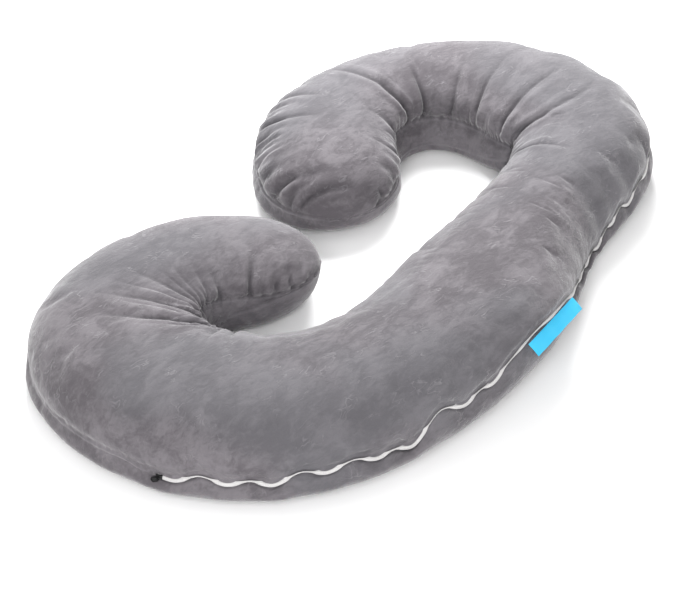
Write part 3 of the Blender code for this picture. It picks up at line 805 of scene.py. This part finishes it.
def distance_to(points, path):
    """The distance of each point from the nearest point of a densely spaced path."""
    tree = KDTree(len(path))
    for index, point in enumerate(path):
        tree.insert(point, index)
    tree.balance()
    return np.array([tree.find(point)[2] for point in points])


def sewn_seams():
    """Points along every seam that has no zip."""
    at = np.arange(0.002, TUBE_LENGTH, SEAM_STEP)
    plain = at[(at < ZIP_START) | (at > ZIP_END)]
    tube = tube_at(at)
    upper, lower = gusset_panel(tube, np.zeros_like(at)), gusset_panel(tube, np.ones_like(at))
    return np.concatenate([outer_seam(plain), upper, lower])


def shape_cover(piece):
    """Sinks the creases, raises the seams and keeps both as attributes for the velvet."""
    points, normals = points_of(piece), normals_of(piece)
    surface = BVHTree.FromPolygons(points.tolist(), [tuple(face.vertices) for face in piece.data.polygons])
    bed = outer_seam(np.arange(ZIP_START, ZIP_END, SEAM_STEP))
    under_zip = np.exp(-((distance_to(points, bed - np.array([0, 0, GROOVE_DROP])) / GROOVE_HALF) ** 2))
    depth = crease_depth(points, ALL_CREASES, surface) * between(*BED_CLEAR, distance_to(points, bed))
    depth += GROOVE_DEPTH * under_zip
    ridge = np.exp(-((distance_to(points, sewn_seams()) / RIDGE_HALF) ** 2))
    shaped = points - normals * (depth - RIDGE_HEIGHT * ridge)[:, None]
    shaped[:, 2] = np.maximum(shaped[:, 2], 0)
    shaped[points[:, 2] < ON_FLOOR] = points[points[:, 2] < ON_FLOOR]
    move_points(piece, shaped)
    for name, values in (("hollow", np.clip(depth / HOLLOW_DEPTH, 0, 1)), ("seam_edge", ridge)):
        piece.data.attributes.new(name, "FLOAT", "POINT").data.foreach_set("value", values)


shape_cover(pillow)
print("creases sunk, seams raised")

# %% [markdown]
# The cover is short-pile velvet in mid grey. Its pile leans one way or the other where a hand has brushed
# it, so it shows pale and dark patches with soft edges, and it catches light at its rim. A picture of
# velvet could be laid on it, but noise keeps its grain at any distance. Sheen makes the rim, noise of
# several sizes makes the patches and their cooler tint, thin faint lines mark where the pile is crushed,
# and the hollows are darker, because little light gets down between the hairs.

# %% Velvet
VELVET_DARK, VELVET_PALE = (0.088, 0.080, 0.088), (0.147, 0.136, 0.147)
VELVET_COOL, MARK_PALE = (0.106, 0.107, 0.116), (0.215, 0.206, 0.220)
HOLLOW_SHADE, SEAM_PAINTED_HIGHLIGHT = (0.030, 0.028, 0.032), (0.21, 0.20, 0.215)
TINTS_PER_M, PATCHES_PER_M, STROKES_PER_M, CRUSH_PER_M, HAIRS_PER_M = 2.2, 9, 26, 110, 900
MARKS_PER_M, MARK_AREAS_PER_M = 62, 26
MARK_WIDTH = 0.0005  # how far the square of the noise may be from its middle value inside a mark
STROKE_STRETCH, CRUSH_STRETCH, MARK_STRETCH = (1, 0.55, 1), (1, 0.5, 1), (1, 0.35, 1)
STROKE_TURN, CRUSH_TURN = 0.6, -0.9


def crushed_marks(velvet, point):
    """1 on thin short lines where a noise passes its middle value, in scattered areas, and 0 elsewhere."""
    line = velvet.noise(velvet.place(MARK_STRETCH, STROKE_TURN), MARKS_PER_M, 2, 0.5, 0.8) - 0.5
    areas = velvet.noise(point, MARK_AREAS_PER_M, 2, 0.5)
    return (1 - velvet.between(line * line, 0, MARK_WIDTH)) * velvet.between(areas, 0.54, 0.66)


def make_velvet():
    velvet = Shader("velvet_grey")
    point = velvet.place()
    patches = velvet.noise(point, PATCHES_PER_M, 3, 0.5, 0.4)
    strokes = velvet.noise(velvet.place(STROKE_STRETCH, STROKE_TURN), STROKES_PER_M, 5, 0.60, 0.9)
    crush = velvet.noise(velvet.place(CRUSH_STRETCH, CRUSH_TURN), CRUSH_PER_M, 4, 0.65, 0.8)
    hairs = velvet.noise(point, HAIRS_PER_M, 2, 0.6)
    tint = velvet.noise(point, TINTS_PER_M, 2, 0.5, 0.6)
    lean = patches * 0.30 + strokes * 0.44 + crush * 0.26
    color = velvet.mix(velvet.between(lean, 0.41, 0.60), VELVET_DARK, VELVET_PALE)
    color = velvet.mix(velvet.between(tint, 0.44, 0.60) * 0.5, color, VELVET_COOL)
    color = velvet.mix(velvet.between(hairs, 0.35, 0.75) * 0.22, color, VELVET_DARK)
    marks = crushed_marks(velvet, point)
    color = velvet.mix(marks * 0.32, color, MARK_PALE)
    color = velvet.mix(velvet.attribute("hollow") * 0.6, color, HOLLOW_SHADE)
    # painted highlight: the raised seam ridges are made paler, as if light caught them
    color = velvet.mix(velvet.attribute("seam_edge") * 0.3, color, SEAM_PAINTED_HIGHLIGHT)
    crushed = velvet.bump(strokes * 0.5 + crush * 0.5 + marks * 0.35, 0.006, 0.45)
    pile = velvet.bump(hairs, 0.0007, 0.5, below=crushed)
    velvet.set_all(Sheen_Weight=0.42, Sheen_Roughness=0.38, Specular_IOR_Level=0.12)
    roughness = 0.94 - velvet.between(lean, 0.40, 0.62) * 0.16
    return velvet.finish(Base_Color=color, Roughness=roughness, Normal=pile)


pillow.data.materials.append(make_velvet())
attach(pillow, "root")
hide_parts("pillow_body")
print("velvet on")

# %% [markdown]
# The zip is a white coil zip. Its tape was sewn in while the seam was pulled short, so now it waves. It
# could be drawn as one white band, but a close look shows the tape's weave and the row of coil loops.
# Both are modelled straight, in a frame where X runs along the zip, Y up and Z out, and are then laid
# along the seam.

# %% Lay a straight piece along the seam
PATH_STEP = 0.001
ROLL_PER_M, ROLL_LIMIT = 110.0, 0.8  # radians for each metre of rise, and the most that the tape rolls
ROLL_OVER = 0.028  # a wave's rise is measured against the seam this far to both sides


def wave_roll(at):
    """How far the tape rolls: its face turns up in the dips of the waves and down on their crests."""
    around = (wave_rise(at - ROLL_OVER) + wave_rise(at + ROLL_OVER)) / 2
    return ROLL_LIMIT * np.tanh(ROLL_PER_M * (around - wave_rise(at)) / ROLL_LIMIT)


def seam_path(start, end):
    """Points along the outer seam, and at each the unit directions along, up and out of it."""
    at = np.arange(start, end + PATH_STEP / 2, PATH_STEP)
    tube = tube_at(at)
    middle = outer_seam(at)
    along = np.gradient(middle, axis=0)
    along /= np.linalg.norm(along, axis=1, keepdims=True)
    out = np.stack([tube.side_x, tube.side_y, np.zeros_like(at)], -1)
    up = np.cross(out, along)
    return middle, along, up / np.linalg.norm(up, axis=1, keepdims=True), out


def path_lengths(middle):
    return np.append(0, np.cumsum(np.linalg.norm(np.diff(middle, axis=0), axis=1)))


def at_lengths(values, lengths, wanted):
    """Rows of values at these lengths along a path."""
    return np.stack([np.interp(wanted, lengths, column) for column in values.T], -1)


def lay_along(piece, start, end):
    """Bends a straight piece so that its X runs along the seam, and rolls it with the waves."""
    middle, _, up, out = seam_path(start, end)
    lengths = path_lengths(middle)
    roll = wave_roll(np.linspace(start, end, len(middle)))
    local = points_of(piece)
    base, up, out = (at_lengths(values, lengths, local[:, 0]) for values in (middle, up, out))
    roll = np.interp(local[:, 0], lengths, roll)[:, None]
    across, lift = local[:, 1:2], local[:, 2:3]
    up_by = across * np.cos(roll) + lift * np.sin(roll)
    out_by = lift * np.cos(roll) - across * np.sin(roll)
    move_points(piece, base + up * up_by + out * out_by)


TAPE_START = 0.685  # the slider covers its end
SMOOTH_UNDER = math.radians(40)  # edges that turn less than this are shaded smooth
ZIP_LENGTH = path_lengths(seam_path(TAPE_START, ZIP_END)[0])[-1]
print("zip:", round(ZIP_LENGTH, 3), "m along its waves")

# %% Zip tape
TAPE_HALF, TAPE_THICK, TAPE_LIFT = 0.0037, 0.0005, 0.0004
TAPE_CROWN = 0.0007
TAPE_CELL, TAPE_CELLS_ACROSS = 0.0025, 6


def straight_band(name, length, half, cells_across):
    """A flat band from X = 0, with Y across it."""
    cells = round(length / TAPE_CELL)
    bpy.ops.mesh.primitive_grid_add(x_subdivisions=cells, y_subdivisions=cells_across, size=1)
    band = bpy.context.object
    band.name = name
    band.data.transform(Matrix.Diagonal((length, 2 * half, 1, 1)) @ Matrix.Translation((0.5, 0, 0)))
    return band


def thicken(piece, thickness):
    """Gives a flat piece its thickness, towards -Z."""
    solid = piece.modifiers.new("Thickness", "SOLIDIFY")
    solid.thickness, solid.offset = thickness, -1
    apply_modifier(piece, solid)


tape = straight_band("zip_tape_band", ZIP_LENGTH, TAPE_HALF, TAPE_CELLS_ACROSS)
thicken(tape, TAPE_THICK)
arched = points_of(tape)
arched[:, 2] += TAPE_LIFT + TAPE_THICK + TAPE_CROWN * (1 - (arched[:, 1] / TAPE_HALF) ** 2)
move_points(tape, arched)
lay_along(tape, TAPE_START, ZIP_END)
bpy.ops.object.shade_smooth_by_angle(angle=SMOOTH_UNDER)
print("tape:", len(tape.data.polygons), "faces")

# %% Zip coil
COIL_PITCH = 0.00145
LOOP_SIZE = (0.00095, 0.0030, 0.0010)
LOOP_ROUND = 0.00028
LOOP_LEAN = math.radians(14)


def rounded_block(name, size, rounding, segments=1):
    """A block round the origin with rounded edges."""
    bpy.ops.mesh.primitive_cube_add(size=1)
    block = bpy.context.object
    block.name = name
    block.data.transform(Matrix.Diagonal((*size, 1)))
    open_whole(block)
    bpy.ops.mesh.bevel(offset=rounding, segments=segments, affect="EDGES")
    bpy.ops.object.mode_set(mode="OBJECT")
    return block


def repeat(piece, pitch, length):
    """Copies a piece along X, once for each pitch that fits in the length but the last."""
    row = piece.modifiers.new("Row", "ARRAY")
    row.use_relative_offset, row.use_constant_offset = False, True
    row.constant_offset_displace = (pitch, 0, 0)
    row.count = round(length / pitch) - 1
    apply_modifier(piece, row)


coil = rounded_block("zip_coil", LOOP_SIZE, LOOP_ROUND)
coil.data.transform(Matrix.Rotation(LOOP_LEAN, 4, "Z"))
coil.data.transform(Matrix.Translation((COIL_PITCH, 0, TAPE_LIFT + TAPE_THICK + TAPE_CROWN)))
repeat(coil, COIL_PITCH, ZIP_LENGTH)
lay_along(coil, TAPE_START, ZIP_END)
bpy.ops.object.shade_smooth_by_angle(angle=SMOOTH_UNDER)
print("coil:", len(coil.data.polygons), "faces")

# %% Zip finishes
TAPE_WHITE, TAPE_GREY, COIL_WHITE = (0.50, 0.49, 0.49), (0.30, 0.29, 0.295), (0.56, 0.55, 0.545)
WEAVE_PER_M, DUST_PER_M, WEAR_PER_M = 1400, 60, 220


def make_tape_white():
    tape_white = Shader("zip_tape_white")
    point = tape_white.place()
    weave = tape_white.noise(point, WEAVE_PER_M, 2, 0.5)
    dust = tape_white.noise(point, DUST_PER_M, 4, 0.6)
    color = tape_white.mix(tape_white.between(weave, 0.35, 0.65) * 0.5, TAPE_WHITE, TAPE_GREY)
    color = tape_white.mix(tape_white.between(dust, 0.5, 0.8) * 0.25, color, TAPE_GREY)
    ribs = tape_white.bump(weave, 0.0003, 0.7)
    tape_white.set_all(Sheen_Weight=0.15, Specular_IOR_Level=0.3)
    return tape_white.finish(Base_Color=color, Roughness=0.62 + dust * 0.2, Normal=ribs)


def make_coil_white():
    coil_white = Shader("zip_coil_white")
    wear = coil_white.noise(coil_white.place(), WEAR_PER_M, 3, 0.6)
    scuffs = coil_white.bump(wear, 0.0001)
    color = coil_white.mix(coil_white.between(wear, 0.5, 0.8) * 0.3, COIL_WHITE, TAPE_GREY)
    coil_white.set_all(Coat_Weight=0.15, Coat_Roughness=0.3, IOR=1.49)
    return coil_white.finish(Base_Color=color, Roughness=0.28 + wear * 0.18, Normal=scuffs)


tape.data.materials.append(make_tape_white())
coil.data.materials.append(make_coil_white())
for piece in (tape, coil):
    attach(piece, "root")
    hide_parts("zip_tape")
print("zip dressed")

# %% [markdown]
# The slider is a small die-cast body in black enamel: a plate with two rims that hold the coils, a bridge
# on it and a pull that hangs from the bridge. One block could stand for all of it, but its parts catch
# the light separately. Each is shaped in the zip's own frame and then carried to the seam without bending
# it, because metal doesn't bend.

# %% Slider
SLIDER_AT = 0.687
SLIDER_LENGTH, SLIDER_WIDTH, PLATE_THICK, SLIDER_ROUND = 0.0110, 0.0088, 0.0012, 0.0004
RIM_THICK, RIM_HEIGHT = 0.0011, 0.0026
TAIL_SHARE = 0.62  # the tail is this much narrower than the head
SLIDER_LIFT = 0.0034
BRIDGE_RADIUS, BRIDGE_WIRE = 0.0024, 0.0007


def seam_matrix(at):
    """A frame on the seam with X along it, Y up and Z out."""
    middle, along, up, out = (Vector(rows[0]) for rows in seam_path(at, at + PATH_STEP))
    return Matrix.Translation(middle) @ Matrix((along, up, out)).transposed().to_4x4()


def narrow_tail(piece, from_x, share):
    """Brings the points left of this X together across the piece."""
    points = points_of(piece)
    tail = points[:, 0] < from_x
    points[tail, 1] *= share
    move_points(piece, points)


def join(pieces, name):
    bpy.ops.object.select_all(action="DESELECT")
    for piece in pieces:
        piece.select_set(True)
    bpy.context.view_layer.objects.active = pieces[0]
    bpy.ops.object.join()
    pieces[0].name = name
    return pieces[0]


def make_slider():
    """The plate, its two rims and the bridge, joined and carried to the seam."""
    plate = rounded_block("slider_plate", (SLIDER_LENGTH, SLIDER_WIDTH, PLATE_THICK), SLIDER_ROUND, 3)
    rims, rim_away = [], (SLIDER_WIDTH - RIM_THICK) / 2
    for across in (-rim_away, rim_away):
        rim = rounded_block("slider_rim", (SLIDER_LENGTH, RIM_THICK, RIM_HEIGHT), SLIDER_ROUND, 3)
        rim.data.transform(Matrix.Translation((0, across, -RIM_HEIGHT / 2)))
        rims.append(rim)
    bpy.ops.mesh.primitive_torus_add(
        major_radius=BRIDGE_RADIUS, minor_radius=BRIDGE_WIRE, major_segments=32, minor_segments=10
    )
    bridge = bpy.context.object
    bridge.data.transform(Matrix.Rotation(math.pi / 2, 4, "X"))
    body = join([plate, *rims, bridge], "slider")
    narrow_tail(body, -SLIDER_LENGTH / 4, TAIL_SHARE)
    body.data.transform(seam_matrix(SLIDER_AT) @ Matrix.Translation((0, 0, SLIDER_LIFT)))
    return body


slider = make_slider()
bpy.ops.object.shade_smooth_by_angle(angle=SMOOTH_UNDER)
print("slider:", len(slider.data.polygons), "faces")

# %% Pull
PULL_LENGTH, PULL_WIDTH, PULL_THICK, PULL_ROUND = 0.0125, 0.0080, 0.0013, 0.0024
PULL_HOLE, PULL_SOFT = 0.0020, 0.0003
PULL_TURN, PULL_LIFT = math.radians(35), 0.0074  # it hangs down from the line of the zip


def upright_edges(piece):
    """Selects the edges that stand along Z."""
    open_whole(piece)
    bpy.ops.mesh.select_all(action="DESELECT")
    bpy.ops.object.mode_set(mode="OBJECT")
    points = points_of(piece)
    for edge in piece.data.edges:
        first, last = (points[index] for index in edge.vertices)
        edge.select = bool(abs(first - last)[:2].max() < 1e-6)
    bpy.ops.object.mode_set(mode="EDIT")
    bpy.ops.mesh.select_mode(type="EDGE")


def flat_faces(piece):
    """Selects the faces that look along Z."""
    bpy.ops.mesh.select_all(action="DESELECT")
    bpy.ops.mesh.select_mode(type="FACE")
    bpy.ops.object.mode_set(mode="OBJECT")
    for face in piece.data.polygons:
        face.select = abs(face.normal.z) > 0.99
    bpy.ops.object.mode_set(mode="EDIT")


def make_pull():
    """A plate with round corners and a hole through it."""
    bpy.ops.mesh.primitive_cube_add(size=1)
    pull = bpy.context.object
    pull.name = "slider_pull"
    pull.data.transform(Matrix.Diagonal((PULL_LENGTH, PULL_WIDTH, PULL_THICK, 1)))
    upright_edges(pull)
    bpy.ops.mesh.bevel(offset=PULL_ROUND, segments=6, affect="EDGES")
    flat_faces(pull)
    bpy.ops.mesh.inset(thickness=PULL_HOLE, use_individual=True)
    bpy.ops.mesh.bridge_edge_loops()
    bpy.ops.mesh.select_all(action="SELECT")
    bpy.ops.mesh.normals_make_consistent(inside=False)
    bpy.ops.object.mode_set(mode="OBJECT")
    soften = pull.modifiers.new("Soft edges", "BEVEL")
    soften.width, soften.segments, soften.limit_method = PULL_SOFT, 3, "ANGLE"
    apply_modifier(pull, soften)
    hang = Matrix.Rotation(PULL_TURN, 4, "Z") @ Matrix.Translation((-PULL_LENGTH / 2, 0, PULL_LIFT))
    pull.data.transform(seam_matrix(SLIDER_AT) @ hang)
    return pull


pull = make_pull()
bpy.ops.object.shade_smooth_by_angle(angle=SMOOTH_UNDER)
print("pull:", len(pull.data.polygons), "faces")

# %% Black enamel
ENAMEL, BARE_METAL = (0.006, 0.006, 0.0065), (0.20, 0.195, 0.19)
CHIPS_PER_M, GRAIN_PER_M = 420, 1500


def make_enamel():
    enamel = Shader("slider_black")
    point = enamel.place()
    chips = enamel.between(enamel.noise(point, CHIPS_PER_M, 5, 0.7), 0.66, 0.74)
    grain = enamel.noise(point, GRAIN_PER_M, 2)
    color = enamel.mix(chips, ENAMEL, BARE_METAL)
    pits = enamel.bump(grain - chips * 0.6, 0.00006, 0.6)
    roughness, gloss = 0.45 + grain * 0.14, 0.08 - chips * 0.08
    enamel.set_all(Coat_Roughness=0.12, IOR=1.5, Specular_IOR_Level=0.3)
    return enamel.finish(
        Base_Color=color, Metallic=chips, Roughness=roughness, Coat_Weight=gloss, Normal=pits
    )


enamel = make_enamel()
for piece, node in ((slider, "zip_slider"), (pull, "zip_pull")):
    piece.data.materials.clear()
    piece.data.materials.append(enamel)
    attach(piece, "root")
    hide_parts(node)
print("slider dressed")

# %% [markdown]
# The side label is a bright blue woven ribbon, folded double and caught in the seam above the zip, so
# that it stands out and down over it. It could follow the seam's bulge, but a stiff ribbon pulls
# straight. So it is a straight band as thick as its two layers, with softened edges and a row of stitches
# at its root. Its face is left bare.

# %% Side label
LABEL_START, LABEL_END = 1.166, 1.317
LABEL_UP, LABEL_AWAY, LABEL_OUT, LABEL_DOWN = 0.0056, 0.0026, 0.020, 0.017
LABEL_THICK, LABEL_EDGE, LABEL_CELLS = 0.0012, 0.0005, 14
LABEL_BEND = ((0, 0.45, 1), (0, 0.5, 1))  # shares of the way down, and of the way out that goes with each
FACE_OUT, FACE_UP = 0.65, 0.76  # the direction in which the label's face looks
LABEL_RIPPLE, RIPPLE_LENGTH = 0.0005, 0.049


def label_path():
    """A straight line that touches the bulge of the seam from outside, and the direction square to it."""
    middle, _, _, out = seam_path(LABEL_START, LABEL_END)
    chord = np.linspace(middle[0], middle[-1], len(middle))
    square = out.mean(0) / np.linalg.norm(out.mean(0))
    return chord + square * ((middle - chord) @ square).max(), np.tile(square, (len(middle), 1))


def on_label(along, down, lift):
    """Points by their distance along the label, share of the way down to its fold and height off its face."""
    middle, out = label_path()
    lengths = path_lengths(middle)
    base, out = (at_lengths(values, lengths, along) for values in (middle, out))
    outward_by = LABEL_AWAY + LABEL_OUT * np.interp(down, *LABEL_BEND) + lift * FACE_OUT
    ripple = LABEL_RIPPLE * down * np.sin(2 * math.pi * along / RIPPLE_LENGTH)
    rise = LABEL_UP - LABEL_DOWN * down + ripple + lift * FACE_UP
    return base + out * outward_by[:, None] + np.array([0, 0, 1]) * rise[:, None]


def lay_on_label(piece):
    """Carries a straight piece onto the label: X along it, Y the share of the way down, Z off its face."""
    local = points_of(piece)
    move_points(piece, on_label(*local.T))


LABEL_LENGTH = path_lengths(label_path()[0])[-1]
label = straight_band("label_ribbon", LABEL_LENGTH, 0.5, LABEL_CELLS)
label.data.transform(Matrix.Translation((0, 0.5, LABEL_THICK)))
thicken(label, LABEL_THICK)
lay_on_label(label)
rounding = label.modifiers.new("Fold", "BEVEL")
rounding.width, rounding.segments, rounding.limit_method = LABEL_EDGE, 3, "ANGLE"
apply_modifier(label, rounding)
bpy.ops.object.shade_smooth_by_angle(angle=math.radians(50))
print("label:", round(LABEL_LENGTH * 1000), "mm long")

# %% Stitches of the label
STITCH_PITCH, STITCH_LENGTH, STITCH_THICK, STITCH_ROUND = 0.0034, 0.0024, 0.0005, 0.0002
STITCH_SHARE, STITCH_ROOT = 0.025, 0.09  # shares of the way down: a stitch's own height, and its place

stitches = rounded_block("label_stitches", (STITCH_LENGTH, STITCH_SHARE, STITCH_THICK), STITCH_ROUND)
stitches.data.transform(Matrix.Translation((STITCH_PITCH, STITCH_ROOT, LABEL_THICK)))
repeat(stitches, STITCH_PITCH, LABEL_LENGTH)
lay_on_label(stitches)
print("stitches:", len(stitches.data.polygons), "faces")

# %% Label blue
LABEL_BLUE, LABEL_DEEP, THREAD_BLUE = (0.022, 0.46, 0.74), (0.014, 0.37, 0.62), (0.040, 0.52, 0.80)
RIBS_PER_M, FADE_PER_M, TWISTS_PER_M = 2200, 35, 1800
RIB_STRETCH, RIB_TURN = (1, 0.25, 1), 0.75


def make_ribbon_blue():
    ribbon = Shader("label_blue")
    ribs = ribbon.noise(ribbon.place(RIB_STRETCH, RIB_TURN), RIBS_PER_M, 2, 0.5)
    fade = ribbon.noise(ribbon.place(), FADE_PER_M, 4, 0.6)
    weave = ribbon.bump(ribs, 0.0002, 0.6)
    color = ribbon.mix(ribbon.between(ribs, 0.35, 0.65) * 0.35, LABEL_BLUE, LABEL_DEEP)
    color = ribbon.mix(ribbon.between(fade, 0.45, 0.75) * 0.3, color, THREAD_BLUE)
    ribbon.set_all(Sheen_Weight=0.1, Specular_IOR_Level=0.35, Anisotropic=0.3)
    return ribbon.finish(Base_Color=color, Roughness=0.5 + fade * 0.15, Normal=weave)


def make_thread_blue():
    thread = Shader("label_thread")
    twist = thread.noise(thread.place(), TWISTS_PER_M, 2)
    color = thread.mix(twist, THREAD_BLUE, LABEL_BLUE)
    return thread.finish(Base_Color=color, Roughness=0.55 + twist * 0.1, Normal=thread.bump(twist, 0.0002))


for piece, material in ((label, make_ribbon_blue()), (stitches, make_thread_blue())):
    piece.data.materials.append(material)
    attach(piece, "root")
    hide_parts("side_label")
print("label dressed")
